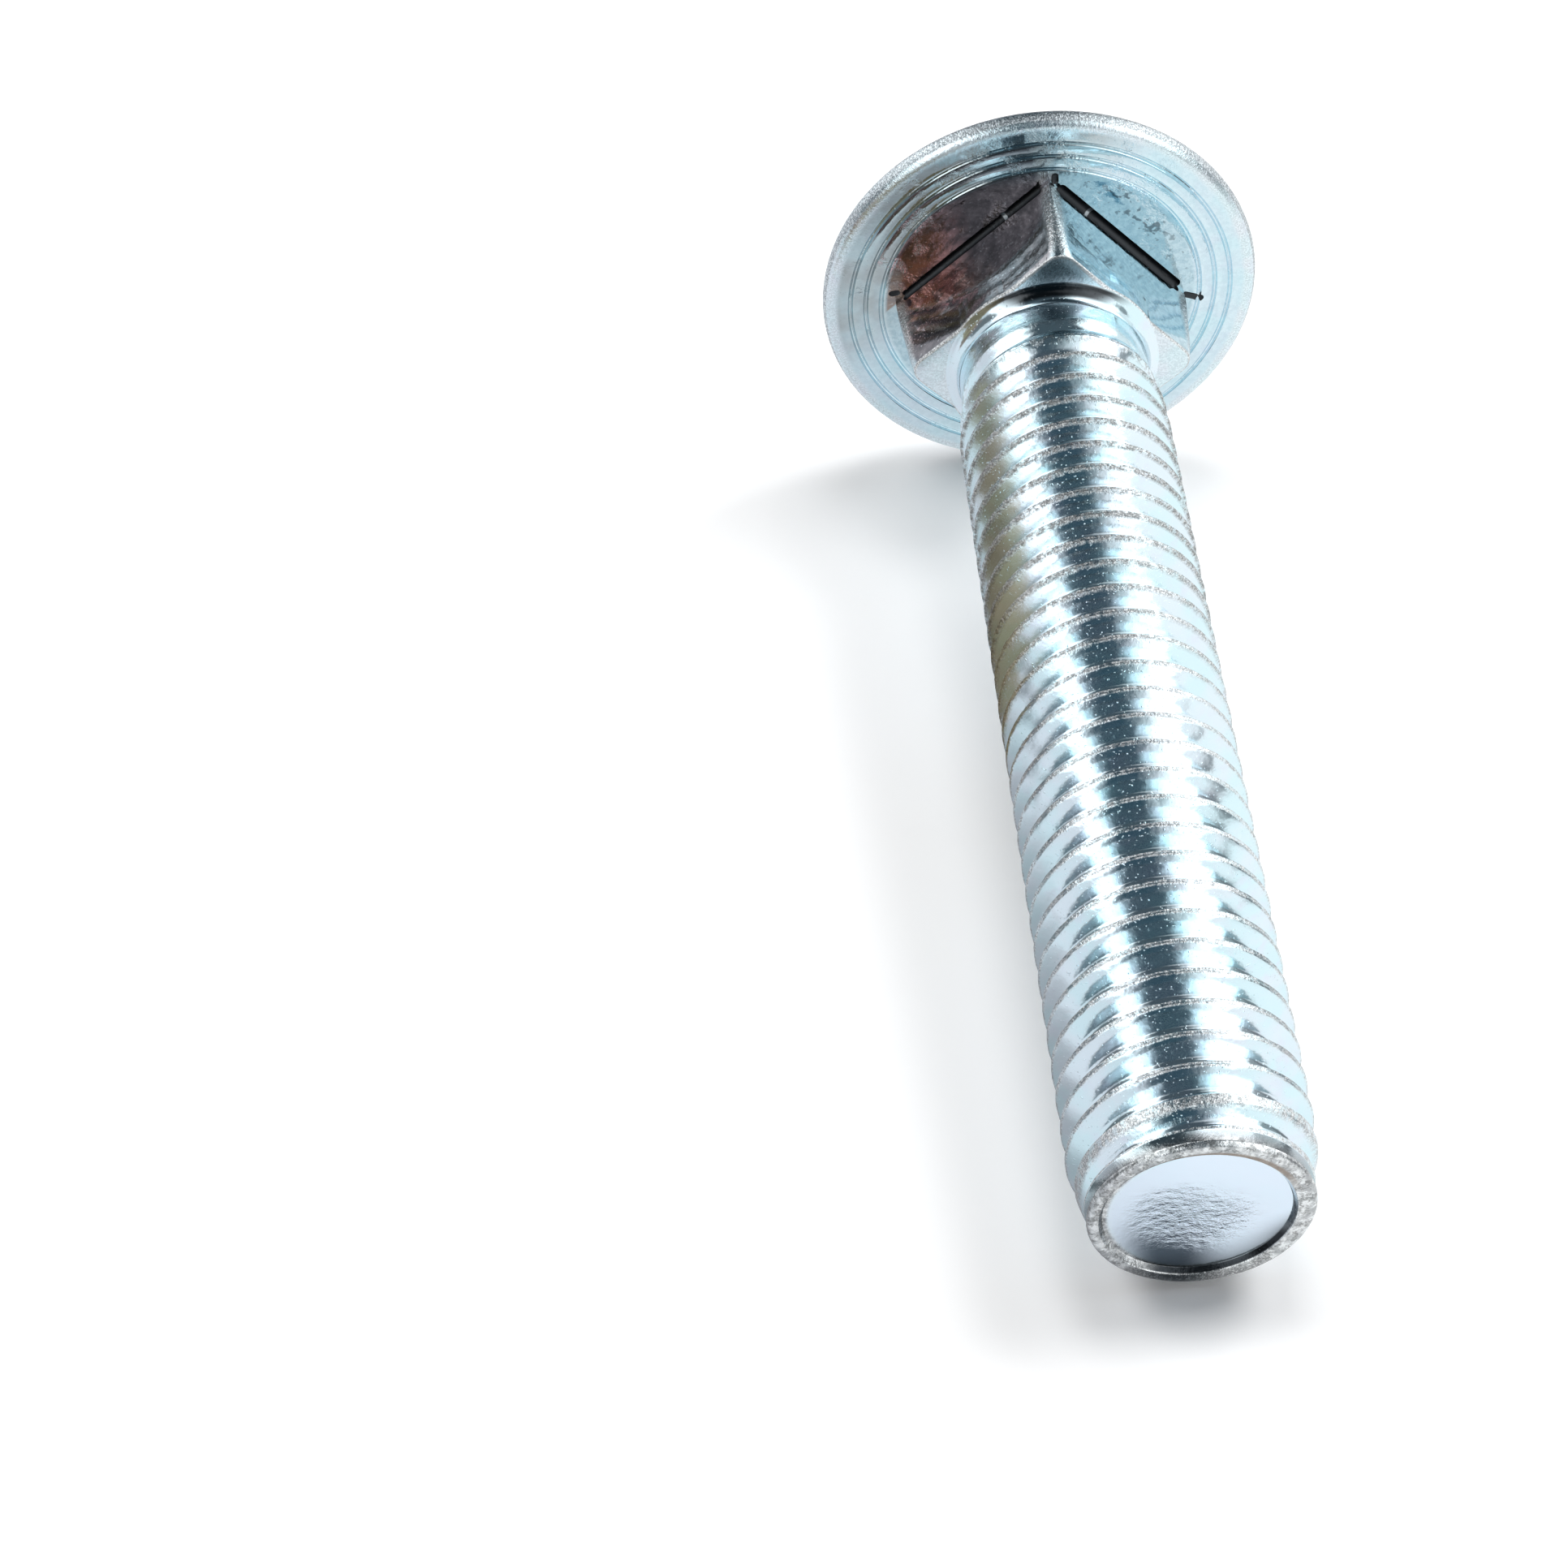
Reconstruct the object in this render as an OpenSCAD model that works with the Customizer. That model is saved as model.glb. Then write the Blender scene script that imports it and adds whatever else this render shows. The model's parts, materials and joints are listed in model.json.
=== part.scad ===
// Round-head square-neck bolt, 1/2-13 x 2-3/4 in, threaded up to the neck.
// It lies on the ground plane on its head's rim and its last full thread crest, with
// the threaded end towards -Y. The origin is the centre of its box, on the ground.
// Millimetres, +Z up.

/* [Head] */
// Diameter of the head over its rounded rim
head_d = 26.8; // [25:0.1:28]
// Height of the domed head above its bearing face
head_h = 6.6; // [5.6:0.1:7.4]
// Radius of the rounded rim in section
rim_r = 0.7; // [0.5:0.05:1]
// Rings turned into the bearing face
ring_count = 3; // [1:1:3]
// Distance from one ring to the next, and from the rim to the first
ring_step = 0.95; // [0.8:0.05:1.1]
// Width of each ring's groove
ring_w = 0.26; // [0.15:0.01:0.4]
// Depth of each ring's groove
ring_depth = 0.1; // [0.05:0.01:0.15]

/* [Square neck] */
// Width of the neck across its flats
neck_w = 12.7; // [12.2:0.05:13]
// Length of the neck from the bearing face
neck_len = 6.5; // [5.5:0.1:8]
// Diameter over the neck's corners at its thread end, less than the full diagonal
neck_corner_d = 16.7; // [15.5:0.1:17]
// Radius of the groove where each flat meets the head
root_groove_r = 0.4; // [0.2:0.05:0.45]
// Length of that groove, short of the corners
root_groove_len = 11.4; // [9:0.1:11.8]

/* [Shank and thread] */
// Length of the bolt under the head
bolt_len = 69.85; // [45:0.05:80]
// Diameter of the blank that the thread is rolled from
blank_d = 11.4; // [11.2:0.05:11.8]
// Radius of the fillet between the neck and the shank
shank_fillet = 0.4; // [0.2:0.05:0.6]
// Plain length of shank between the neck and the thread
plain_len = 1.75; // [1:0.05:4]
// Outer diameter of the thread
thread_d = 12.5; // [12.4:0.02:12.68]
// Root diameter of the thread
root_d = 10.3; // [10.2:0.05:10.6]
// Distance from one thread crest to the next
pitch = 1.954; // [1.8:0.001:2.2]
// Turns over which the thread rises to its full height
start_turns = 2.5; // [1:0.25:4]
// Turns over which the thread's grooves die out before the end
end_turns = 0.5; // [0.5:0.1:2]
// Length over which the thread's crests are chamfered down to the end
chamfer_len = 2.6; // [1.5:0.1:4]

/* [Threaded end] */
// Diameter of the end's rim
end_d = 11.3; // [11:0.05:11.6]
// Length of the plain rim past the thread
end_len = 0.95; // [0.8:0.05:1.5]
// Radius of the rim's rounding
end_round = 0.45; // [0.3:0.05:0.6]
// Diameter of the hollow in the end, at its mouth
dish_d = 9.2; // [9:0.1:10]
// Diameter of the hollow's floor
dish_floor_d = 8.8; // [8:0.1:9]
// Depth of the hollow's wall
dish_wall = 0.35; // [0.3:0.05:0.8]
// Further depth of the hollow at its centre
dish_bowl = 0.35; // [0.1:0.05:0.6]

/* [Hidden] */
$fn = 96;

// Sides of the threaded solid in one turn.
SIDES = 30;
// Points of an arc in a turned outline.
ARC = 16;
// Angle about the axis at which the thread starts.
THREAD_TURN = 36;
// Length before the plain rim in which the last turn is pressed together.
SQUEEZE = 0.3;
// Clear step between the threaded solid's flat-sided ends and the round shank.
STEP = 0.03;
// How far two joined solids reach into each other.
OVERLAP = 1;
// The neck's corners: where they start to round off and where they bulge most, as shares of
// its length, and how far they stand out there past the straight line to the thread end.
CORNER_START = 0.1;
CORNER_MIDDLE = 0.6;
CORNER_BULGE = 0.25;
// The root groove's axis: its distance out from the flat, and its height as a share of its radius.
GROOVE_OUT = 0.1;
GROOVE_UP = 0.6;

head_r = head_d / 2;
blank_r = blank_d / 2;
thread_r = thread_d / 2;
root_r = root_d / 2;
end_r = end_d / 2;

// Centre of the rim's round section, and the sphere of the dome that is tangent to it.
rim_c = head_r - rim_r;
dome_rise = head_h - rim_r;
dome_r = (pow(rim_c, 2) + pow(dome_rise, 2) - pow(rim_r, 2)) / (2 * (dome_rise - rim_r));
dome_c = dome_r - head_h;
// Half angle of the dome as its sphere's centre sees it.
dome_half = atan2(rim_c, dome_c + rim_r);

// Along the axis, from the bearing face at 0 to the end at bolt_len.
shank_end = neck_len + plain_len;
thread_end = bolt_len - end_len;
thread_len = thread_end - shank_end;
steps = floor(thread_len / pitch * SIDES);
row_start = shank_end + (thread_len - pitch * steps / SIDES) / 2;

// One pitch of the thread: half the crest's width and half the root's as shares of the pitch,
// and how far the root's sides stand out past its middle.
CREST_HALF = 0.07;
ROOT_HALF = 0.12;
ROOT_SIDE = 0.12;
PLACES = [0, 2 * CREST_HALF, 0.5 + CREST_HALF - ROOT_HALF, 0.5 + CREST_HALF,
    0.5 + CREST_HALF + ROOT_HALF];
RADII = [thread_r, thread_r, root_r + ROOT_SIDE, root_r, root_r + ROOT_SIDE];
ROWS = len(PLACES);

// Laid on the ground: the tilt that brings the rim and the last full crest down to it.
last_crest = thread_end - chamfer_len - pitch / 4;
tilt_rise = rim_c - thread_r;
tilt_run = last_crest + rim_r;
tilt = atan2(tilt_rise, tilt_run) + asin(rim_r / norm([tilt_rise, tilt_run]));
lift = rim_c * cos(tilt) - rim_r * sin(tilt) + rim_r;

// How far the laid bolt reaches behind and in front of its bearing face's centre.
reach_back = dome_r - dome_c * cos(tilt);
reach_front = (end_r - end_round) * sin(tilt) + (bolt_len - end_round) * cos(tilt) + end_round;

// Points of an arc in a turned outline, from angle a to angle b.
function arc(c, r, a, b, n = ARC) =
    [for (i = [0:n]) let (t = a + (b - a) * i / n) c + r * [cos(t), sin(t)]];

// Place along the axis, the last turn pressed together short of the plain rim.
function squeeze(z) = let (past = z - thread_end + SQUEEZE)
    past < 0 ? z : thread_end - SQUEEZE / (1 + past / SQUEEZE);

// Smooth rise from 0 to 1.
function ease(x) = let (t = max(0, min(1, x))) t * t * (3 - 2 * t);

// How fully the thread is formed at step i of the helix.
function formed(i) = ease(i / (start_turns * SIDES)) * ease((steps - i) / (end_turns * SIDES));

// Radius that the chamfer leaves at a place along the axis.
function chamfer_at(z) = end_r - STEP + (thread_r - end_r) * (thread_end - z) / chamfer_len;

// Radius of one thread row at step i, between the blank or the chamfer and the full thread.
function row_r(j, i, z) = let (rest = z > bolt_len / 2 ? min(thread_r, chamfer_at(z)) : blank_r - STEP)
    min(rest + formed(i) * (RADII[j] - rest), chamfer_at(z));

// Angle of step i about the axis.
function turn_at(i) = i * 360 / SIDES + THREAD_TURN;

// A point of the thread: step i along the helix, row j across the pitch.
function thread_point(i, j) = let (a = turn_at(i), z = squeeze(row_start + pitch * (i / SIDES + PLACES[j])),
    r = row_r(j, i, z)) [r * cos(a), r * sin(a), z];

// A point of a flat-sided end ring.
function ring_point(i, r, z) = [r * cos(turn_at(i)), r * sin(turn_at(i)), z];

// Index of a thread point: the last row of one turn is the first row of the next.
function at(i, j) = j == ROWS ? at(i + SIDES, 0)
    : i > steps ? (steps + 1) * ROWS + i - steps - 1
    : i * ROWS + j;

module threaded_solid() {
    low = (steps + 1) * ROWS + SIDES;
    high = low + SIDES;
    points = [
        for (i = [0:steps]) for (j = [0:ROWS - 1]) thread_point(i, j),
        for (i = [steps + 1:steps + SIDES]) thread_point(i, 0),
        for (i = [0:SIDES - 1]) ring_point(i, blank_r - STEP, shank_end),
        for (i = [0:SIDES - 1]) ring_point(steps + i, end_r - STEP, thread_end),
    ];
    flanks = [
        for (i = [0:steps - 1]) for (j = [0:ROWS - 1])
            each [[at(i, j), at(i, j + 1), at(i + 1, j + 1)], [at(i, j), at(i + 1, j + 1), at(i + 1, j)]],
    ];
    start_side = [
        for (i = [0:SIDES - 2])
            each [[low + i, at(i, 0), at(i + 1, 0)], [low + i, at(i + 1, 0), low + i + 1]],
        for (j = [0:ROWS - 1]) [at(SIDES - 1, 0), at(0, j + 1), at(0, j)],
        [at(SIDES - 1, 0), at(0, 0), low],
        [at(SIDES - 1, 0), low, low + SIDES - 1],
    ];
    end_side = [
        for (j = [0:ROWS - 1]) [at(steps + 1, 0), at(steps, j), at(steps, j + 1)],
        [at(steps + 1, 0), at(steps, ROWS), high],
        [at(steps + 1, 0), high, high + 1],
        for (i = [1:SIDES - 1]) let (next = high + (i + 1) % SIDES)
            each [[at(steps + i, 0), high + i, next], [at(steps + i, 0), next, at(steps + i + 1, 0)]],
    ];
    caps = [[for (i = [0:SIDES - 1]) low + i], [for (i = [SIDES - 1:-1:0]) high + i]];
    polyhedron(points, concat(flanks, start_side, end_side, caps), convexity = 10);
}

// Outline of the head: dome, rounded rim, and the bearing face with its rings.
module head() {
    rings = [
        for (i = [1:ring_count]) let (r = rim_c - i * ring_step)
            each [[r + ring_w / 2, 0], [r, -ring_depth], [r - ring_w / 2, 0]],
    ];
    rotate_extrude()
        polygon(concat(
            arc([0, dome_c], dome_r, -90, dome_half - 90),
            arc([rim_c, -rim_r], rim_r, dome_half - 90, 90),
            rings,
            [[0, 0]]));
}

// Square neck, its corners rounded off towards the thread.
module neck() {
    full = neck_w / sqrt(2) + OVERLAP;
    intersection() {
        translate([0, 0, (neck_len - OVERLAP) / 2])
            rotate(45)
                cube([neck_w, neck_w, neck_len + OVERLAP], center = true);
        rotate_extrude()
            polygon([[0, -OVERLAP], [full, -OVERLAP], [neck_w / sqrt(2), neck_len * CORNER_START],
                [neck_corner_d / 2 + CORNER_BULGE, neck_len * CORNER_MIDDLE],
                [neck_corner_d / 2, neck_len], [0, neck_len]]);
    }
}

// Round-ended groove at the root of one flat.
module root_groove() {
    straight = root_groove_len - 2 * root_groove_r;
    translate([neck_w / 2 + GROOVE_OUT, 0, root_groove_r * GROOVE_UP]) {
        rotate([90, 0, 0])
            cylinder(h = straight, r = root_groove_r, center = true);
        for (side = [-1, 1])
            translate([0, side * straight / 2, 0])
                sphere(r = root_groove_r);
    }
}

// Plain shank below the neck, with the fillet that joins them.
module shank() {
    rotate_extrude()
        polygon(concat(
            [[0, neck_len - OVERLAP], [blank_r + shank_fillet, neck_len - OVERLAP]],
            arc([blank_r + shank_fillet, neck_len + shank_fillet], shank_fillet, 270, 180, 6),
            [[blank_r, shank_end], [0, shank_end]]));
}

// End of the bolt: a rounded rim round a shallow hollow.
module end_rim() {
    rotate_extrude()
        polygon(concat(
            [[0, thread_end], [end_r, thread_end]],
            arc([end_r - end_round, bolt_len - end_round], end_round, 0, 90, 6),
            [[dish_d / 2, bolt_len], [dish_floor_d / 2, bolt_len - dish_wall],
                [dish_floor_d / 4, bolt_len - dish_wall - dish_bowl * 0.75],
                [0, bolt_len - dish_wall - dish_bowl]]));
}

// The whole bolt about its own axis, bearing face at 0 and threaded end up.
module upright_bolt() {
    difference() {
        union() {
            head();
            neck();
            shank();
            threaded_solid();
            end_rim();
        }
        for (i = [0:3])
            rotate(45 + 90 * i)
                root_groove();
    }
}

module bolt() {
    color("lightsteelblue")
        translate([0, (reach_front - reach_back) / 2, lift])
            rotate([90 + tilt, 0, 0])
                upright_bolt();
}

bolt();
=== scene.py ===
import json
from math import atan2, cos, degrees, floor, hypot, pi, radians, sin
from types import SimpleNamespace

import bmesh
import bpy
from mathutils import Matrix, Vector, noise


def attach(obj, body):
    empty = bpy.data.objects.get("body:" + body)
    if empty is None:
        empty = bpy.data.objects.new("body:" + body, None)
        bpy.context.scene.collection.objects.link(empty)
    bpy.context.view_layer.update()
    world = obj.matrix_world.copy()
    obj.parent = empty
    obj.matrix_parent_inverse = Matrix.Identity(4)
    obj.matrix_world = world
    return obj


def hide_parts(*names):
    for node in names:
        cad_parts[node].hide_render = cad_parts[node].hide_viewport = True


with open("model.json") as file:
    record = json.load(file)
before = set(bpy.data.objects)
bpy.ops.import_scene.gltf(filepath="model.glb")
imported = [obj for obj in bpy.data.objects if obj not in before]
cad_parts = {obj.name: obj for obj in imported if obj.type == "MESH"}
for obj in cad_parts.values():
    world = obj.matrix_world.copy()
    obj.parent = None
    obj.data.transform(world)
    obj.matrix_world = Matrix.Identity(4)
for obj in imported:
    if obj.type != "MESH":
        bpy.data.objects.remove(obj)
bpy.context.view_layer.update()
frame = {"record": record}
MM = 0.001

# Sizes of the bolt in millimetres, along its own axis: bearing face at 0, end at BOLT_LEN.
HEAD_R, HEAD_H, RIM_R = 13.4, 6.6, 0.7
RING_RADII, RING_W, RING_DEPTH = (11.75, 10.8, 9.85), 0.32, 0.14
# Height of the lip that the press raised outside and inside each ring.
LIP_OUT, LIP_IN = 0.035, 0.03
# Radii that divide the plain part of the bearing face.
FACE_STEPS = (9.2, 8.0, 5.0)
NECK_LEN = 6.5
# The neck's rings: place along the axis, half the width, and the rounding of the corners.
NECK_RINGS = ((-1.0, 6.35, 0.1), (0.3, 6.35, 0.1), (1.2, 6.35, 0.14), (2.3, 6.345, 0.32), (3.9, 6.33, 0.65),
              (5.3, 6.31, 0.9), (6.3, 6.28, 1.15), (6.42, 6.25, 1.15), (6.48, 6.19, 1.1), (6.5, 6.12, 1.05))
GROOVE_R, GROOVE_LEN, GROOVE_OUT, GROOVE_UP = 0.4, 11.4, 6.45, 0.24
# Which of the four grooves came out narrower, and its share of the others' radius.
NARROW_GROOVE, NARROW = 1, 0.7
# Nicks beside the ends of the upper grooves: place, turn and length.
NICKS = (((9.5, -0.3, 0.12), -107, 1.5), ((0.35, 9.1, 0.14), 5, 0.9), ((-9.05, 0.75, 0.14), 100, 0.8))
NICK_R = 0.26
# Places this close to a rod's surface were pressed by it.
PRESS_GAP = 0.03
BOLT_LEN, BLANK_R, FILLET, PLAIN = 69.85, 5.7, 0.85, 1.75
THREAD_R, ROOT_R, PITCH = 6.25, 5.15, 1.954
START_TURNS, END_TURNS, CHAMFER = 2.5, 0.5, 2.6
END_R, END_LEN, END_ROUND = 5.65, 0.95, 0.3
DISH_R, DISH_FLOOR_R, DISH_WALL, DISH_BOWL = 4.85, 4.62, 0.35, 0.07
# How far off centre the hollow in the end was struck.
DISH_SHIFT = -0.2
SHANK_END = NECK_LEN + PLAIN
THREAD_END = BOLT_LEN - END_LEN
DISH_FLOOR = BOLT_LEN - DISH_WALL
# Where the thread's first crest starts along the axis, and half the width of a crest.
ROW_START, CREST_HALF = 8.3125, 0.176
# Turns of the thread until its last groove has died out, and how far it is wound on from there.
GROOVE_TURNS, LAST_TURNS = 30.85, 0.97
# Angle about the axis at which the thread starts, and the length its last turn is pressed together in.
THREAD_TURN, SQUEEZE = radians(55), 0.3
# The thread's outermost layer wavers: its depth, how far it wavers, and how many times in a millimetre.
CREST_LAYER, WAVER, WAVER_SCALE = 0.15, 0.03, 1.7
# Depth of the wear on the crests, how much deeper it gets towards the head between two places, and its edge.
WEAR, WEAR_MORE, WEAR_FROM, WEAR_FULL, WEAR_EDGE = 0.12, 0.12, 44, 16, 0.09
# Steps round the thread and round the head.
SIDES, HEAD_SIDES = 96, 192
# Edges that fold more sharply than this show as edges.
SHARP = radians(32)
# Vertices closer than this are one: in the thread, in the whole bolt and in a turned solid.
WELD, BOLT_WELD, FINE_WELD = 1e-3, 5e-4, 1e-4

# The frame's thread mount gives the axis of the bolt as it lies on the floor, and the middle of its end.
mounts = {m["name"]: m for m in frame["record"]["mounts"]}
axis = Vector(mounts["thread"]["axis"]).normalized()
tip = Vector(mounts["thread"]["pos_m"])
lying = pi / 2 + atan2(-axis.z, -axis.y)
laid = Matrix.Translation(tip - axis * BOLT_LEN * MM) @ Matrix.Rotation(lying, 4, "X") @ Matrix.Scale(MM, 4)


# ---------------------------------------------------------------- mesh helpers

def ease(x):
    """A smooth rise from 0 at 0 to 1 at 1."""
    t = max(0.0, min(1.0, x))
    return t * t * (3 - 2 * t)


def arc(centre, radius, start, end, count):
    """Points of an arc in a turned outline, as (radius, place), angles in degrees."""
    turns = [radians(start + (end - start) * i / count) for i in range(count + 1)]
    return [(centre[0] + radius * cos(t), centre[1] + radius * sin(t)) for t in turns]


def weld(bm, dist):
    bmesh.ops.remove_doubles(bm, verts=bm.verts, dist=dist)


def rim_edges(bm):
    return [e for e in bm.edges if len(e.link_faces) == 1]


def lathe(outline, sides):
    """A closed solid turned about the axis from an outline that starts and ends on it."""
    bm = bmesh.new()
    line = [bm.verts.new((r, 0, z)) for r, z in outline]
    edges = [bm.edges.new(pair) for pair in zip(line, line[1:])]
    bmesh.ops.spin(bm, geom=line + edges, cent=(0, 0, 0), axis=(0, 0, 1), dvec=(0, 0, 0),
                   angle=2 * pi, steps=sides, use_merge=True)
    weld(bm, FINE_WELD)
    bmesh.ops.recalc_face_normals(bm, faces=bm.faces)
    return bm


def as_object(bm, name):
    mesh = bpy.data.meshes.new(name)
    bm.to_mesh(mesh)
    bm.free()
    piece = bpy.data.objects.new(name, mesh)
    bpy.context.scene.collection.objects.link(piece)
    return piece


def combine(piece, tool, how):
    """Joins tool to piece or cuts piece with it, and removes the tool."""
    boolean = piece.modifiers.new("combine", "BOOLEAN")
    boolean.operation = how
    boolean.object = tool
    boolean.solver = "MANIFOLD"
    bpy.context.view_layer.update()
    view = bpy.context.evaluated_depsgraph_get()
    done = bpy.data.meshes.new_from_object(piece.evaluated_get(view))
    piece.modifiers.clear()
    piece.data = done
    bpy.data.objects.remove(tool)


# ---------------------------------------------------------------- forged head and neck

def head_solid():
    """The domed head with its rounded rim, and the rings pressed into its bearing face."""
    rim_c, rise = HEAD_R - RIM_R, HEAD_H - RIM_R
    dome_r = (rim_c ** 2 + rise ** 2 - RIM_R ** 2) / (2 * (rise - RIM_R))
    dome_c = dome_r - HEAD_H
    half = degrees(atan2(rim_c, dome_c + RIM_R))
    outline = [(0, -HEAD_H)] + arc((0, dome_c), dome_r, -90, half - 90, 26)[1:]
    outline += arc((rim_c, -RIM_R), RIM_R, half - 90, 90, 12)[1:]
    w = RING_W / 2
    for r in RING_RADII:
        outline += [(r + w * 2, 0), (r + w, LIP_OUT), (r + w * 0.4, -RING_DEPTH * 0.8), (r, -RING_DEPTH),
                    (r - w * 0.4, -RING_DEPTH * 0.8), (r - w, LIP_IN), (r - w * 1.8, 0)]
    outline += [(r, 0) for r in FACE_STEPS] + [(0, 0)]
    return as_object(lathe(outline, HEAD_SIDES), "zinc_bolt")


def neck_solid():
    """A square prism whose corners are rounded more and more towards the thread."""
    bm = bmesh.new()
    rings = []
    for place, half, corner in NECK_RINGS:
        known = set(bm.edges)
        made = bmesh.ops.create_grid(bm, x_segments=1, y_segments=1, size=half,
                                     matrix=Matrix.Translation((0, 0, place)))
        bmesh.ops.bevel(bm, geom=made["verts"], offset=corner, offset_type="OFFSET", segments=8, profile=0.5,
                        affect="VERTICES", material=-1)
        rings.append([e for e in bm.edges if e not in known])
    inner = [f for f in bm.faces if NECK_RINGS[0][0] < f.verts[0].co.z < NECK_LEN]
    bmesh.ops.delete(bm, geom=inner, context="FACES_ONLY")
    for low, high in zip(rings, rings[1:]):
        bmesh.ops.bridge_loops(bm, edges=low + high)
    bmesh.ops.recalc_face_normals(bm, faces=bm.faces)
    bmesh.ops.rotate(bm, cent=(0, 0, 0), matrix=Matrix.Rotation(radians(45), 3, "Z"), verts=bm.verts)
    return as_object(bm, "neck")


def groove_tools():
    """Centre, turn, half length and radius of the rod that presses each groove and nick."""
    tools = []
    for i in range(4):
        turn = 45 + 90 * i
        centre = Matrix.Rotation(radians(turn), 4, "Z") @ Vector((GROOVE_OUT, 0, GROOVE_UP))
        tools.append((centre, turn, GROOVE_LEN / 2, GROOVE_R * (NARROW if i == NARROW_GROOVE else 1)))
    return tools + [(Vector(spot), turn, length / 2, NICK_R) for spot, turn, length in NICKS]


def groove_rod(centre, turn, half, radius):
    """A round-ended rod lying in its groove."""
    bm = lathe([(0, -half)] + arc((0, -half + radius), radius, -90, 0, 6)[1:]
               + arc((0, half - radius), radius, 0, 90, 6)[:-1] + [(0, half)], 24)
    place = Matrix.Translation(centre) @ Matrix.Rotation(radians(turn), 4, "Z")
    bmesh.ops.transform(bm, matrix=place @ Matrix.Rotation(pi / 2, 4, "X"), verts=bm.verts)
    return as_object(bm, "groove")


def pressed(spot, centre, turn, half, radius):
    """Whether a place lies on a rod's surface."""
    way = Vector((-sin(radians(turn)), cos(radians(turn)), 0))
    off = spot - centre
    along = max(radius - half, min(half - radius, off.dot(way)))
    return abs((off - way * along).length - radius) < PRESS_GAP


# ---------------------------------------------------------------- rolled thread

def chamfer_radius(z):
    """Radius of a crest at a place along the axis, cut down by the chamfer at the end."""
    return min(THREAD_R, END_R + (THREAD_R - END_R) * (THREAD_END - z) / CHAMFER)


def squeezed(z):
    """Place along the axis, the last turn pressed together short of the plain rim."""
    past = z - THREAD_END + SQUEEZE
    return z if past < 0 else THREAD_END - SQUEEZE / (1 + past / SQUEEZE)


def thread_radius(r, z, groove_turn):
    """Radius of a thread point once the rolling's start, its end and the chamfer are taken in."""
    cone = chamfer_radius(z)
    rest = BLANK_R if z < BOLT_LEN / 2 else cone
    formed = (ease((z - ROW_START) / (START_TURNS * PITCH))
              * ease((GROOVE_TURNS - groove_turn) / END_TURNS))
    return min(rest + formed * (min(r, cone) - rest), cone)


def thread_outline(crest):
    """One pitch of the thread about its crest, as (place, radius), with a shallow dip along the crest."""
    half = [(0, THREAD_R - 0.06), (0.04, THREAD_R - 0.04), (0.09, THREAD_R), (0.135, THREAD_R - 0.02),
            (0.19, THREAD_R - 0.1), (0.29, THREAD_R - 0.267), (0.46, THREAD_R - 0.561),
            (0.63, THREAD_R - 0.838), (0.74, ROOT_R + 0.11), (0.85, ROOT_R + 0.03), (PITCH / 2, ROOT_R)]
    return [(crest - u, r) for u, r in reversed(half)] + [(crest + u, r) for u, r in half[1:]]


def spin_thread(bm, outline, turn, steps):
    """Winds one pitch of the thread's outline through some steps of a turn, and gives what it made."""
    before = set(bm.verts) | set(bm.edges) | set(bm.faces)
    line = [bm.verts.new((r, 0, z + turn * PITCH)) for z, r in outline]
    edges = [bm.edges.new(pair) for pair in zip(line, line[1:])]
    bmesh.ops.spin(bm, geom=line + edges, cent=(0, 0, 0), axis=(0, 0, 1), dvec=(0, 0, PITCH / SIDES),
                   angle=2 * pi * steps / SIDES, steps=steps, use_merge=False)
    return [g for seq in (bm.verts, bm.edges, bm.faces) for g in seq if g not in before]


def wound_thread(outline):
    """The thread as an open tube: its first turn, copies of that, and the part of a turn that is left."""
    bm = bmesh.new()
    turns, steps = divmod(int((GROOVE_TURNS + LAST_TURNS) * SIDES), SIDES)
    first = spin_thread(bm, outline, 0, SIDES)
    for i in range(1, turns):
        copy = bmesh.ops.duplicate(bm, geom=first)["geom"]
        verts = [g for g in copy if isinstance(g, bmesh.types.BMVert)]
        bmesh.ops.translate(bm, vec=(0, 0, PITCH * i), verts=verts)
    spin_thread(bm, outline, turns, steps)
    weld(bm, WELD)
    return bm


def form_thread(bm, crest):
    """Sets each vertex where the rolling, the chamfer and the pressed last turn leave it."""
    for v in bm.verts:
        was = out = hypot(v.co.x, v.co.y)
        angle = atan2(v.co.y, v.co.x) / (2 * pi) % 1
        # The turn that the vertex's groove is on: whole turns of its crest behind it, plus its angle.
        groove_turn = floor((v.co.z - crest) / PITCH - angle + 1e-4) + angle
        if out > THREAD_R - CREST_LAYER:
            wobble = WAVER * noise.noise(v.co * WAVER_SCALE)
            out -= abs(wobble)
            v.co.z += wobble
        place = squeezed(v.co.z)
        share = thread_radius(out, place, groove_turn) / was
        v.co = Vector((v.co.x * share, v.co.y * share, place))
    weld(bm, WELD)


def grow_ring(bm, edges, radius, place, shift=0.0, old_shift=0.0):
    """Extrudes a boundary ring and sets it to a radius and a place along the axis, shifted in X."""
    made = bmesh.ops.extrude_edge_only(bm, edges=edges)["geom"]
    verts = [g for g in made if isinstance(g, bmesh.types.BMVert)]
    for v in verts:
        out = hypot(v.co.x - old_shift, v.co.y)
        v.co = Vector(((v.co.x - old_shift) / out * radius + shift, v.co.y / out * radius, place))
    return [g for g in made if isinstance(g, bmesh.types.BMEdge)]


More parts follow.
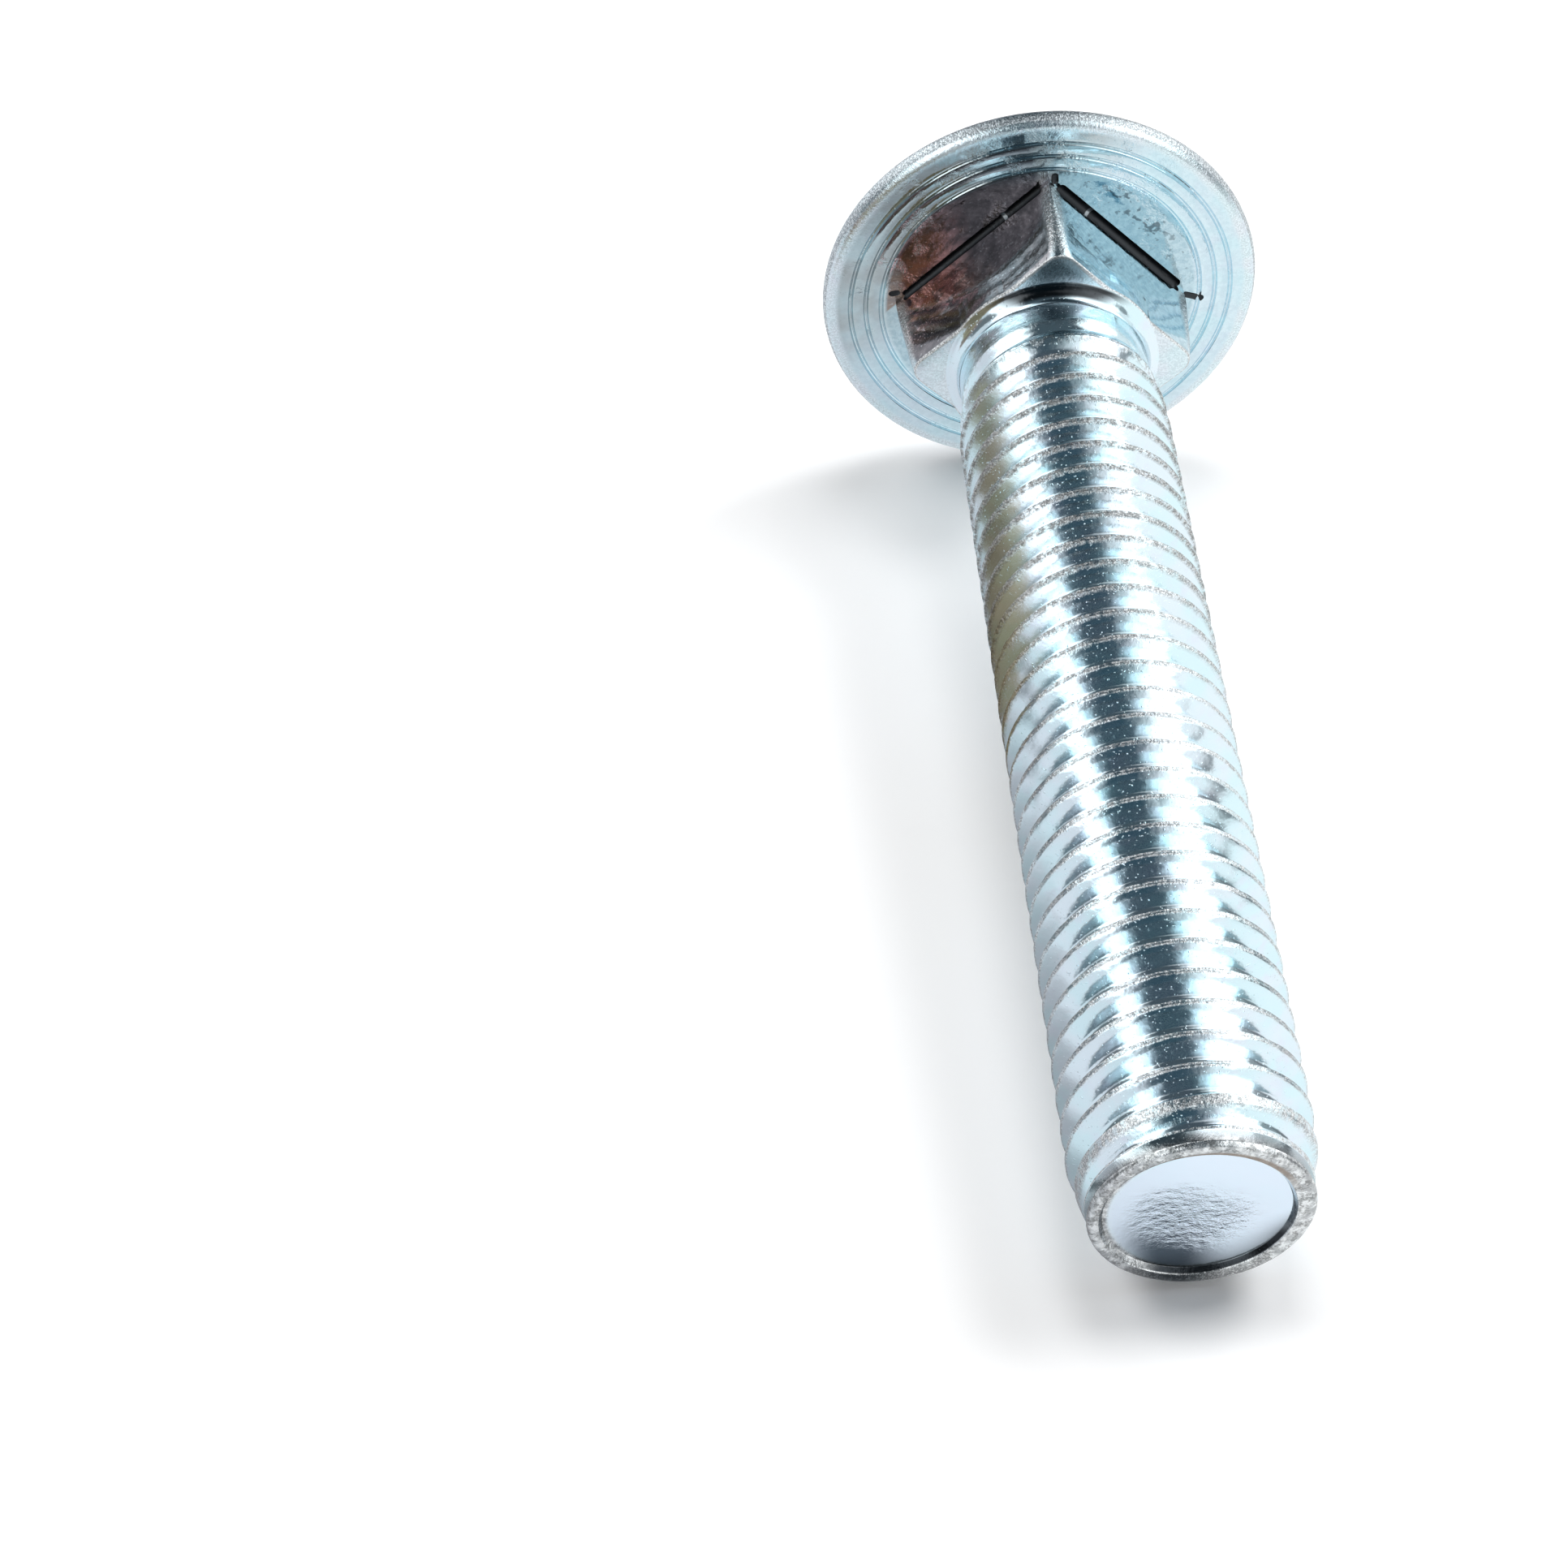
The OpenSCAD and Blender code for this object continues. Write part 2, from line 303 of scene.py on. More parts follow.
def close_shank(bm, rim):
    """Carries the thread's rim over the plain shank and the fillet into the neck, and closes it there."""
    grow_ring(bm, rim, BLANK_R, NECK_LEN + FILLET + 0.05)
    weld(bm, WELD)
    rim = [e for e in rim_edges(bm) if e.verts[0].co.z < BOLT_LEN / 2]
    foot = BLANK_R + FILLET
    fillet = arc((foot, NECK_LEN + FILLET), FILLET, 180, 265, 6)
    for r, z in fillet + [(foot, NECK_LEN - 0.05), (foot, NECK_LEN - 2)]:
        rim = grow_ring(bm, rim, r, z)
    bmesh.ops.contextual_create(bm, geom=rim)


def close_end(bm, rim):
    """Carries the thread's rim round the bolt's end and down into the hollow struck off centre in it."""
    grow_ring(bm, rim, END_R, THREAD_END)
    weld(bm, WELD)
    rim = rim_edges(bm)
    for r, z in arc((END_R - END_ROUND, BOLT_LEN - END_ROUND), END_ROUND, 0, 90, 7):
        rim = grow_ring(bm, rim, r, z)
    lip = [(DISH_R + 0.1, BOLT_LEN), (DISH_R + 0.02, BOLT_LEN - 0.02), (DISH_R - 0.02, BOLT_LEN - 0.07),
           (DISH_FLOOR_R + 0.1, DISH_FLOOR + 0.06), (DISH_FLOOR_R + 0.04, DISH_FLOOR + 0.01),
           (DISH_FLOOR_R - 0.05, DISH_FLOOR)]
    bowl = [(DISH_FLOOR_R * s, DISH_FLOOR - DISH_BOWL * (1 - s * s))
            for s in (0.93, 0.85, 0.75, 0.65, 0.55, 0.45, 0.35, 0.25, 0.15, 0.06, 0)]
    old_shift = 0.0
    for r, z in lip + bowl:
        rim = grow_ring(bm, rim, r, z, DISH_SHIFT, old_shift)
        old_shift = DISH_SHIFT
    weld(bm, FINE_WELD)


def rod_solid():
    """Shank, thread and dished end as one solid that reaches into the neck."""
    crest = ROW_START + CREST_HALF
    bm = wound_thread(thread_outline(crest))
    form_thread(bm, crest)
    rims = rim_edges(bm)
    low = [e for e in rims if e.verts[0].co.z < BOLT_LEN / 2]
    high = [e for e in rims if e.verts[0].co.z > BOLT_LEN / 2]
    close_shank(bm, low)
    close_end(bm, high)
    bmesh.ops.recalc_face_normals(bm, faces=bm.faces)
    # What lies between the fillet and the end's rounded rim is turned to where the thread starts.
    threaded = [v for v in bm.verts if SHANK_END - 0.9 < v.co.z < BOLT_LEN - END_ROUND - 0.1]
    bmesh.ops.rotate(bm, cent=(0, 0, 0), matrix=Matrix.Rotation(THREAD_TURN, 3, "Z"), verts=threaded)
    return as_object(bm, "rod")


# ---------------------------------------------------------------- the whole bolt

def mark_crests(bm):
    """Marks how far each vertex lies on the thread's worn crests; the wear is wider near the head."""
    crest = bm.verts.layers.float.new("crest")
    for v in bm.verts:
        if SHANK_END < v.co.z < THREAD_END:
            wear = WEAR + WEAR_MORE * ease((WEAR_FROM - v.co.z) / (WEAR_FROM - WEAR_FULL))
            v[crest] = ease((hypot(v.co.x, v.co.y) - chamfer_radius(v.co.z) + wear) / WEAR_EDGE)


def mark_grooves(bm):
    """Marks the faces that the grooves' and nicks' rods left under the head."""
    recess = bm.faces.layers.float.new("recess")
    tools = groove_tools()
    for f in bm.faces:
        if f.calc_center_median().z < GROOVE_UP + GROOVE_R:
            f[recess] = float(any(all(pressed(v.co, *tool) for v in f.verts) for tool in tools))


def make_bolt():
    bolt = head_solid()
    combine(bolt, neck_solid(), "UNION")
    for tool in groove_tools():
        combine(bolt, groove_rod(*tool), "DIFFERENCE")
    combine(bolt, rod_solid(), "UNION")
    bm = bmesh.new()
    bm.from_mesh(bolt.data)
    weld(bm, BOLT_WELD)
    bmesh.ops.dissolve_degenerate(bm, edges=bm.edges, dist=FINE_WELD)
    mark_crests(bm)
    mark_grooves(bm)
    bmesh.ops.transform(bm, matrix=laid, verts=bm.verts)
    for f in bm.faces:
        f.smooth = True
    for e in bm.edges:
        e.smooth = not (len(e.link_faces) == 2 and e.calc_face_angle(0) > SHARP)
    bm.to_mesh(bolt.data)
    bm.free()
    return bolt


# ---------------------------------------------------------------- node helpers

class Nodes:
    """Short calls for a node tree. A mask goes from 0 to 1 over the surface."""

    def __init__(self, owner):
        owner.use_nodes = True
        self.tree = owner.node_tree
        self.tree.nodes.clear()

    def add(self, kind, at=None, **inputs):
        """A node with some of its settings, and inputs that are plain values or other nodes' sockets."""
        node = self.tree.nodes.new(kind)
        for key, value in (at or {}).items():
            setattr(node, key, value)
        for key, value in inputs.items():
            self.put(node.inputs[key.replace("_", " ")], value)
        return node

    def shader(self, kind, **inputs):
        return self.add(kind, **inputs).outputs[0]

    def put(self, socket, value):
        if isinstance(value, bpy.types.NodeSocket):
            self.tree.links.new(value, socket)
        else:
            socket.default_value = value

    def math(self, how, *values):
        node = self.add("ShaderNodeMath", {"operation": how})
        for socket, value in zip(node.inputs, values):
            self.put(socket, value)
        return node.outputs[0]

    def times(self, first, *others):
        for other in others:
            first = self.math("MULTIPLY", first, other)
        return first

    def most(self, first, *others):
        for other in others:
            first = self.math("MAXIMUM", first, other)
        return first

    def minus(self, a, b):
        return self.math("SUBTRACT", a, b)

    def abs(self, value):
        return self.math("ABSOLUTE", value)

    def length(self, x, y):
        return self.math("SQRT", self.math("ADD", self.times(x, x), self.times(y, y)))

    def step(self, value, low, high, to_low=0.0, to_high=1.0):
        """A smooth rise as value goes from low to high, or a fall where low is the larger."""
        node = self.add("ShaderNodeMapRange", {"interpolation_type": "SMOOTHSTEP"})
        for socket, given in zip(node.inputs, (value, low, high, to_low, to_high)):
            self.put(socket, given)
        return node.outputs["Result"]

    def band(self, value, low, rise, fall, high):
        """A mask that rises from low over a rise, and falls over a fall to be 0 from high."""
        return self.times(self.step(value, low, low + rise), self.step(value, high, high - fall))

    def mix(self, share, a, b):
        node = self.add("ShaderNodeMix", {"data_type": "RGBA"})
        for name, value in (("Factor", share), ("A", a), ("B", b)):
            self.put(node.inputs[name], value)
        return node.outputs["Result"]

    def blend(self, share, a, b):
        """A shader that is b for its share and a for the rest."""
        node = self.add("ShaderNodeMixShader", Fac=share)
        self.put(node.inputs[1], a)
        self.put(node.inputs[2], b)
        return node.outputs[0]

    def noise(self, where, scale, detail=2.0, rough=0.5):
        node = self.add("ShaderNodeTexNoise", Vector=where, Scale=scale, Detail=detail, Roughness=rough)
        return node.outputs["Fac"]

    def bump(self, height, strength, distance, under=None):
        """Relief of a depth in millimetres, on top of the relief under it."""
        node = self.add("ShaderNodeBump", Height=height, Strength=strength, Distance=distance * MM)
        if under:
            self.put(node.inputs["Normal"], under)
        return node.outputs["Normal"]

    def here(self):
        return self.add("ShaderNodeTexCoord").outputs["Object"]

    def parts(self, vector):
        return self.add("ShaderNodeSeparateXYZ", Vector=vector).outputs

    def attribute(self, name):
        return self.add("ShaderNodeAttribute", {"attribute_name": name}).outputs["Fac"]

    def ray(self, kind):
        return self.add("ShaderNodeLightPath").outputs[kind]


def tone(r, g, b):
    return (r, g, b, 1.0)


# ---------------------------------------------------------------- zinc plate

# The plate's two shades, which drift over the bolt, a violet blush, and the dish's pale blue.
ICE_BLUE, PALE_BLUE = tone(0.70, 0.90, 0.965), tone(0.77, 0.885, 0.96)
VIOLET, DISH_BLUE = tone(0.76, 0.80, 0.93), tone(0.75, 0.86, 0.985)
# Painted shade: under the head and on the neck the plate is painted a deeper blue.
SHADED_DEEP_BLUE, SHADED_MID_BLUE = tone(0.44, 0.61, 0.69), tone(0.54, 0.71, 0.78)
# A painted dark reflection on the neck's flat: dark, then brown and red, then specks of bare steel.
REFLECTED_DARK, REFLECTED_PALE_DARK = tone(0.17, 0.16, 0.17), tone(0.31, 0.29, 0.305)
REFLECTED_BROWN, RED, BARE_STEEL = tone(0.31, 0.24, 0.20), tone(1.0, 0.60, 0.61), tone(0.55, 0.56, 0.58)
# Painted shade over some of the rings, olive and blue.
PAINTED_OLIVE_SHADE, PAINTED_BLUE_SHADE = tone(0.35, 0.37, 0.36), tone(0.27, 0.37, 0.42)
SCRAPE = tone(0.13, 0.18, 0.21)
# Worn metal, darker worn metal and the scuffed line round the head, each with dark and bright grains.
WORN = tone(0.40, 0.405, 0.41), tone(0.86, 0.88, 0.885)
DARKER_WORN = tone(0.12, 0.11, 0.10), tone(0.62, 0.62, 0.61)
SCUFFED = tone(0.30, 0.33, 0.35), tone(0.75, 0.80, 0.83)
# Painted shade above the shank, a painted dark reflection on the neck's peak, painted shade on the dish's
# wall, the lip's brown, and painted shade in the grooves with the burrs in them.
SHADE_ABOVE_SHANK, PEAK_DARK = tone(0.05, 0.055, 0.06), tone(0.07, 0.10, 0.12)
WALL_DARK, LIP_BROWN = tone(0.03, 0.035, 0.04), tone(0.26, 0.21, 0.17)
GROOVE_DARK, BURR_GREY = tone(0.045, 0.05, 0.055), tone(0.40, 0.45, 0.48)


def places(n):
    """Where a point is on the bolt in its own millimetres, which part it is on, and the plate's grains."""
    own = n.add("ShaderNodeMapping", {"vector_type": "TEXTURE"}, Vector=n.here(), Location=laid.translation,
                Rotation=(lying, 0, 0), Scale=(MM, MM, MM))
    p = SimpleNamespace(spot=own.outputs["Vector"])
    p.x, p.y, p.z = n.parts(p.spot)
    p.out = n.length(p.x, p.y)
    # Distances from the axis towards the neck's upper left flat and towards its upper right one.
    p.side = n.times(n.minus(p.y, p.x), cos(pi / 4))
    p.along = n.times(n.math("ADD", p.x, p.y), cos(pi / 4))
    p.grain = n.noise(p.spot, 9.0, 3, 0.65)
    p.coarse = n.noise(p.spot, 2.6, 3, 0.6)
    p.cloud = n.noise(p.spot, 0.35, 3)
    p.head_rim = n.times(n.step(p.out, HEAD_R - 1, HEAD_R - 0.6), n.step(p.z, 0.3, 0.1))
    p.end_rim = n.times(n.step(p.z, THREAD_END - 0.05, THREAD_END + 0.2),
                        n.step(p.out, DISH_R - 0.35, DISH_R - 0.1))
    p.face = n.times(n.band(p.z, -0.6, 0.3, 0.25, 0.35), n.minus(1, p.head_rim))
    p.inner_face = n.times(p.face, n.step(p.out, 9.7, 9.4))
    p.neck = n.band(p.z, 0.1, 0.3, 0.1, NECK_LEN - 0.02)
    p.dish = n.times(n.step(p.z, THREAD_END - 0.5, THREAD_END - 0.3),
                     n.step(p.out, DISH_R - 0.1, DISH_R - 0.6))
    p.recess = n.attribute("recess")
    # Where the dark reflection is painted: the neck's upper left flat and the face beside it.
    p.stain = n.times(n.step(p.side, 6.15, 6.3), n.most(p.inner_face, p.neck))
    p.scuff = n.times(n.step(p.out, HEAD_R - 0.28, HEAD_R - 0.12), n.step(p.z, 0, -0.3))
    p.dull = dulled(n, p)
    return p


def dulled(n, p):
    """Where the plate is dull: both rims, the crests, the neck's corners and edge, the smeared first turn."""
    crest = n.times(n.attribute("crest"), n.step(p.coarse, 0.36, 0.56, 0.35, 1.0))
    corner = n.times(p.neck, n.step(p.out, 8.2, 8.62))
    edge = n.band(p.z, NECK_LEN - 0.22, 0.1, 0.05, NECK_LEN + 0.02)
    smear = n.times(n.band(p.z, 8.6, 0.4, 3.0, 12.5), n.step(p.coarse, 0.44, 0.54), n.step(p.out, 5.6, 5.9))
    return n.most(n.times(p.head_rim, 0.4), p.end_rim, crest, corner, edge, smear, p.scuff)


def plating(n, p):
    """The plate's own colour, with painted shade under the head and on the neck."""
    tint = n.mix(n.step(p.cloud, 0.38, 0.62), ICE_BLUE, PALE_BLUE)
    blush = n.step(n.noise(p.spot, 0.8, 2), 0.55, 0.75)
    tint = n.mix(n.times(blush, 0.4), tint, VIOLET)
    # Painted shade: a deeper blue over the bearing face, fully inside the rings and on the neck.
    shade_under_head = n.mix(n.step(p.coarse, 0.4, 0.6), SHADED_DEEP_BLUE, SHADED_MID_BLUE)
    tint = n.mix(n.times(p.face, 0.45), tint, shade_under_head)
    tint = n.mix(n.most(p.inner_face, p.neck), tint, shade_under_head)
    return n.mix(n.times(p.dish, 0.85), tint, DISH_BLUE)


def heat_stained(n, p, tint):
    """A painted dark reflection on the neck's upper left flat and on the face beside it."""
    streaks = n.add("ShaderNodeMapping", Vector=p.spot, Rotation=(0, 0, radians(-45)), Scale=(0.25, 1, 1.1))
    streak = n.noise(streaks.outputs["Vector"], 1.3, 3, 0.55)
    stain = n.mix(n.step(streak, 0.3, 0.7), REFLECTED_DARK, REFLECTED_PALE_DARK)
    brown = n.times(p.inner_face, n.step(p.along, 0.5, -3.5), n.step(streak, 0.34, 0.6, 0.3, 0.9))
    stain = n.mix(brown, stain, REFLECTED_BROWN)
    red = n.times(p.neck, n.step(p.along, 0.4, -2.6), n.step(p.z, 5.8, 1.8),
                  n.step(streak, 0.40, 0.52, 0.35, 1.0))
    stain = n.mix(red, stain, RED)
    specks = n.step(n.noise(p.spot, 4.2, 3, 0.6), 0.61, 0.68, 0, 0.75)
    stain = n.mix(specks, stain, BARE_STEEL)
    return n.mix(n.times(p.stain, 0.95), tint, stain)


def painted_shades(n, p, tint):
    """Painted shade: olive over the rings beside the flat's painted reflection, and blue over those above the
    neck's peak.
    """
    olive = n.times(p.face, n.step(p.side, 3.0, 8.0), n.step(p.cloud, 0.35, 0.65, 0.35, 0.75))
    tint = n.mix(n.times(olive, n.minus(1, p.stain)), tint, PAINTED_OLIVE_SHADE)
    blue = n.times(p.face, n.step(p.y, 8.4, 10), n.band(p.x, -7, 5, 0.2, 0.5))
    return n.mix(n.times(blue, 0.6), tint, PAINTED_BLUE_SHADE)


def scraped(n, p, tint):
    """A wavy scrape on the face by the upper right groove, and small marks round it."""
    bend = n.minus(n.noise(p.spot, 0.9, 2, 0.5), 0.5)
    line = n.math("MULTIPLY_ADD", bend, 3.2, n.minus(p.along, 8.4))
    scrape = n.times(n.step(n.abs(line), 0.26, 0.10), n.band(p.side, -2.6, 1.0, 1.0, 4.0),
                     n.step(n.noise(p.spot, 2.0, 2, 0.6), 0.44, 0.52))
    marks = n.times(n.step(p.along, 6.6, 7.6), n.step(n.noise(p.spot, 1.5, 4, 0.7), 0.575, 0.63, 0, 0.7))
    return n.mix(n.times(p.inner_face, n.most(marks, scrape), 0.85), tint, SCRAPE)


def worn(n, p, tint):
    """Grey metal on what is dull, darker towards the head, in patches on the end's rim and low down on it."""
    grains = n.mix(p.end_rim, p.grain, n.noise(p.spot, 1.7, 4, 0.62))
    metal = n.mix(n.step(grains, 0.40, 0.62), *WORN)
    darker_metal = n.most(n.band(p.z, 6.6, 0.6, 32, 52), n.times(p.end_rim, n.step(p.coarse, 0.52, 0.40)),
                   n.times(p.end_rim, n.step(p.y, -3.4, -5.0)))
    metal = n.mix(n.times(darker_metal, 0.8), metal, n.mix(n.step(p.grain, 0.47, 0.65), *DARKER_WORN))
    metal = n.mix(p.scuff, metal, n.mix(n.step(p.grain, 0.42, 0.6), *SCUFFED))
    return n.mix(n.times(p.dull, 0.85), tint, metal)


def darkened(n, p, colour):
    """Painted shade and dark reflections in the corners, from the grooves under the head to the hollow in the
    end, and a brown lip round the hollow.
    """
    # Painted shade on the upper side of the fillet, above the shank.
    shade_above_shank = n.times(n.band(p.z, NECK_LEN - 0.01, 0.04, 0.3, NECK_LEN + 0.65), n.step(p.y, 4.4, 5.6))
    colour = n.mix(shade_above_shank, colour, SHADE_ABOVE_SHANK)
    # A painted dark reflection at the neck's peak.
    peak = n.times(n.band(p.z, NECK_LEN - 0.1, 0.06, 0.08, NECK_LEN + 0.1), n.step(p.y, 5.4, 7.2),
                   n.step(n.abs(p.x), 3.4, 0.9))
    colour = n.mix(n.times(peak, 0.85), colour, PEAK_DARK)
    # Painted shade on the dish's wall towards the lower right.
    lower_right = n.minus(n.times(p.x, 0.40), n.times(p.y, 0.92))
    wall = n.times(n.band(p.z, DISH_FLOOR - 0.05, 0.09, 0.06, BOLT_LEN - 0.04),
                   n.step(p.out, DISH_R + 0.3, DISH_R + 0.15), n.step(lower_right, 1.8, 3.6))
    colour = n.mix(wall, colour, WALL_DARK)
    lip = n.times(n.band(p.out, 4.66, 0.14, 0.15, 5.1), n.step(p.y, 1.5, 3.5),
                  n.step(p.z, BOLT_LEN - 0.5, BOLT_LEN - 0.3))
    colour = n.mix(n.times(lip, 0.85), colour, LIP_BROWN)
    # The grooves and nicks are painted dark as shade, with a bright burr across each of the two upper ones.
    burr = n.step(n.abs(n.minus(n.math("MINIMUM", p.side, p.along), 2.75)), 0.16, 0.08)
    return n.mix(p.recess, colour, n.mix(burr, GROOVE_DARK, BURR_GREY))


def roughness(n, p):
    """Glossy, more so under the head; rougher where dull, in the grooves and at the thread's upper left."""
    rough = n.step(p.grain, 0.3, 0.7, 0.105, 0.14)
    streaky = n.times(n.band(p.z, 8, 2, 14, 44), n.step(p.x, -2.6, -4.2))
    for mask, change in ((n.most(p.face, p.neck), -0.035), (streaky, 0.11), (p.dull, 0.09), (p.recess, 0.3)):
        rough = n.math("MULTIPLY_ADD", mask, change, rough)
    return rough


def relief(n, p):
    """Orange peel all over, pits outside the dish, wear on what is dull, folds in the dish, scraped face."""
    peel = n.bump(n.noise(p.spot, 1.6, 2), 0.35, 0.03)
    pits = n.times(n.step(n.noise(p.spot, 7.0, 1, 0.5), 0.68, 0.80), n.minus(1, p.dish))
    pitted = n.bump(pits, 0.5, 0.02, peel)
    depth = n.math("MULTIPLY_ADD", p.end_rim, -0.45, n.times(p.dull, 0.9))
    wear = n.bump(n.noise(p.spot, 4.0, 4, 0.7), depth, 0.08, pitted)
    creases = n.add("ShaderNodeMapping", Vector=p.spot, Rotation=(0, 0, radians(40)), Scale=(0.8, 1.3, 1))
    middle = n.times(p.dish, n.step(p.out, 4.4, 1.2), n.step(p.y, 3.4, -1.0))
    folds = n.bump(n.noise(creases.outputs["Vector"], 2.2, 4, 0.62), middle, 0.22, wear)
    rubbed = n.times(p.face, n.step(n.noise(p.spot, 0.55, 1), 0.5, 0.62), 0.8)
    return n.bump(n.noise(p.spot, 1.9, 4, 0.65), rubbed, 0.12, folds)


def zinc_plate():
    mat = bpy.data.materials.new("blue_white_zinc_plate")
    n = Nodes(mat)
    p = places(n)
    colour = plating(n, p)
    for layer in (heat_stained, painted_shades, scraped, worn, darkened):
        colour = layer(n, p, colour)
    metal = n.shader("ShaderNodeBsdfPrincipled", Base_Color=colour, Roughness=roughness(n, p), Metallic=1.0,
                     Normal=relief(n, p))
    n.add("ShaderNodeOutputMaterial", Surface=metal)
    return mat


# ---------------------------------------------------------------- studio floor, bar and card

WHITE = tone(1, 1, 1)
FLOOR_HALF = 1.5
# The bar that the thread's left side reflects: its outline in millimetres, its place in metres and its turn.
BAR = ((0, -44), (6, -44), (12.5, -39.5), (12.5, -37), (6.4, -36), (6.3, -9.5), (5, -9), (0, -9))
BAR_PLACE, BAR_TURN = (0, -0.0038, 0.0085), radians(-8)
# The card that the thread's right side reflects, in metres.
CARD_PLACE, CARD_SIZE = (0.0158, 0.0035, 0.0092), (0.018, 0.051)
OLIVE = tone(0.16, 0.13, 0.085), tone(0.42, 0.34, 0.22)
BROWN = tone(0.20, 0.17, 0.17), tone(0.36, 0.25, 0.23)
CARD_WHITE = tone(1.07, 1.07, 1.06)


def bar_and_card():
    """The bar and the card as one mesh, in their places beside the bolt."""
    bm = lathe(BAR, 24)
    upright = Matrix.Rotation(pi / 2, 4, "Y")
    turned = Matrix.Translation(BAR_PLACE) @ Matrix.Rotation(BAR_TURN, 4, "Z")
    bmesh.ops.transform(bm, verts=bm.verts, matrix=turned @ upright @ Matrix.Scale(MM, 4))
    card = bmesh.ops.create_grid(bm, x_segments=1, y_segments=1, size=0.5)["verts"]
    card_place = Matrix.Translation(CARD_PLACE) @ upright @ Matrix.Diagonal((*CARD_SIZE, 1, 1))
    bmesh.ops.transform(bm, verts=card, matrix=card_place)
    mesh = bpy.data.meshes.new("bar_and_card")
    bm.to_mesh(mesh)
    bm.free()
    return mesh


def mirrored_floor(n, x, y):
    """The floor's colour as the metal sees it, places in metres: painted shadow dims it at the left, beside
    the shank and round the tip, and some way off it ends in dark gaps in front and at both sides."""
    # Painted shade: dimmer at the left of the bolt.
    seen = n.mix(n.step(x, -0.012, 0.004), tone(0.80, 0.81, 0.84), WHITE)
    # A painted shadow beside the shank.
    by_shank = n.times(n.band(x, -0.026, 0.016, 0.010, 0.006), n.band(y, -0.041, 0.005, 0.012, 0.014))
    seen = n.mix(by_shank, seen, tone(0.44, 0.44, 0.46))
    ahead = n.math("MULTIPLY_ADD", y, -1, -0.01)
    bearing = n.abs(n.math("ARCTAN2", x, ahead))
    by_tip = n.times(n.step(x, 0.030, 0.044), n.step(y, -0.020, -0.034))
    flank = n.times(n.band(bearing, radians(41), radians(10), radians(12), radians(96)),
                    n.step(n.length(x, ahead), 0.025, 0.045), n.most(by_tip, n.step(x, 0, -0.01)))
    seen = n.mix(flank, seen, tone(0.20, 0.21, 0.22))
    # The gap in front widens with distance.
    widening = n.times(n.math("MULTIPLY_ADD", y, -1, -0.03), 0.2)
    past_gap = n.minus(n.abs(n.minus(x, 0.004)), widening)
    front = n.times(n.step(past_gap, 0.012, 0.0), n.step(y, -0.085, -0.115))
    seen = n.mix(front, seen, tone(0.05, 0.08, 0.10))
    # A painted shadow round the tip.
    from_tip = n.length(n.math("ADD", x, 0.0008), n.math("ADD", y, 0.0385))
    return n.mix(n.step(from_tip, 0.0032, 0.0006), seen, tone(0.10, 0.115, 0.13))


def white_floor():
    """Matt white that glows more and more with distance, and what the metal sees in its place."""
    mat = bpy.data.materials.new("white_floor")
    n = Nodes(mat)
    x, y, _ = n.parts(n.here())
    matt = n.shader("ShaderNodeBsdfDiffuse", Color=tone(0.97, 0.97, 0.975))
    distance = n.length(x, y)
    glow = n.shader("ShaderNodeEmission", Color=WHITE, Strength=n.step(distance, 0.12, 0.40, 0.10, 1.0))
    white = n.add("ShaderNodeAddShader")
    n.put(white.inputs[0], matt)
    n.put(white.inputs[1], glow)
    seen = mirrored_floor(n, x, y)
    mirrored = n.blend(0.75, n.shader("ShaderNodeBsdfDiffuse", Color=seen),
                       n.shader("ShaderNodeEmission", Color=seen, Strength=1.0))
    n.add("ShaderNodeOutputMaterial", Surface=n.blend(n.ray("Is Glossy Ray"), white.outputs[0], mirrored))
    return mat


def bar_and_card_paint():
    """Olive and brown blots along the bar, and white on the card; only reflections see them."""
    mat = bpy.data.materials.new("bar_and_card_paint")
    n = Nodes(mat)
    here = n.here()
    x, _, _ = n.parts(here)
    blots = n.step(n.noise(here, 90, 2), 0.3, 0.7)
    paint = n.mix(n.step(x, -0.032, -0.037), n.mix(blots, *OLIVE), n.mix(blots, *BROWN))
    paint = n.mix(n.step(x, 0.010, 0.012), paint, CARD_WHITE)
    shown = n.blend(n.ray("Is Glossy Ray"), n.shader("ShaderNodeBsdfTransparent"),
                    n.shader("ShaderNodeEmission", Color=paint, Strength=1.0))
    n.add("ShaderNodeOutputMaterial", Surface=shown)
    return mat


def studio():
    """The white floor, with the bar at the left and the card at the right that only the metal reflects."""
    bm = bmesh.new()
    bmesh.ops.create_grid(bm, x_segments=4, y_segments=4, size=FLOOR_HALF)
    floor_faces = set(bm.faces)
    bm.from_mesh(bar_and_card())
    for f in bm.faces:
        f.material_index = int(f not in floor_faces)
    piece = as_object(bm, "studio_floor")
    piece.data.materials.append(white_floor())
    piece.data.materials.append(bar_and_card_paint())


# ---------------------------------------------------------------- room above the floor

SOFT_BOX, RIGHT_WALL, LEFT_WALL = tone(2.1, 2.1, 2.1), tone(0.92, 0.92, 0.92), tone(0.70, 0.71, 0.74)
RIGHT_DIM, LEFT_DIM = tone(0.31, 0.33, 0.34), tone(0.17, 0.18, 0.19)
LOW_GLOOM, HIGH_GLOOM = tone(0.04, 0.075, 0.10), tone(0.07, 0.09, 0.105)


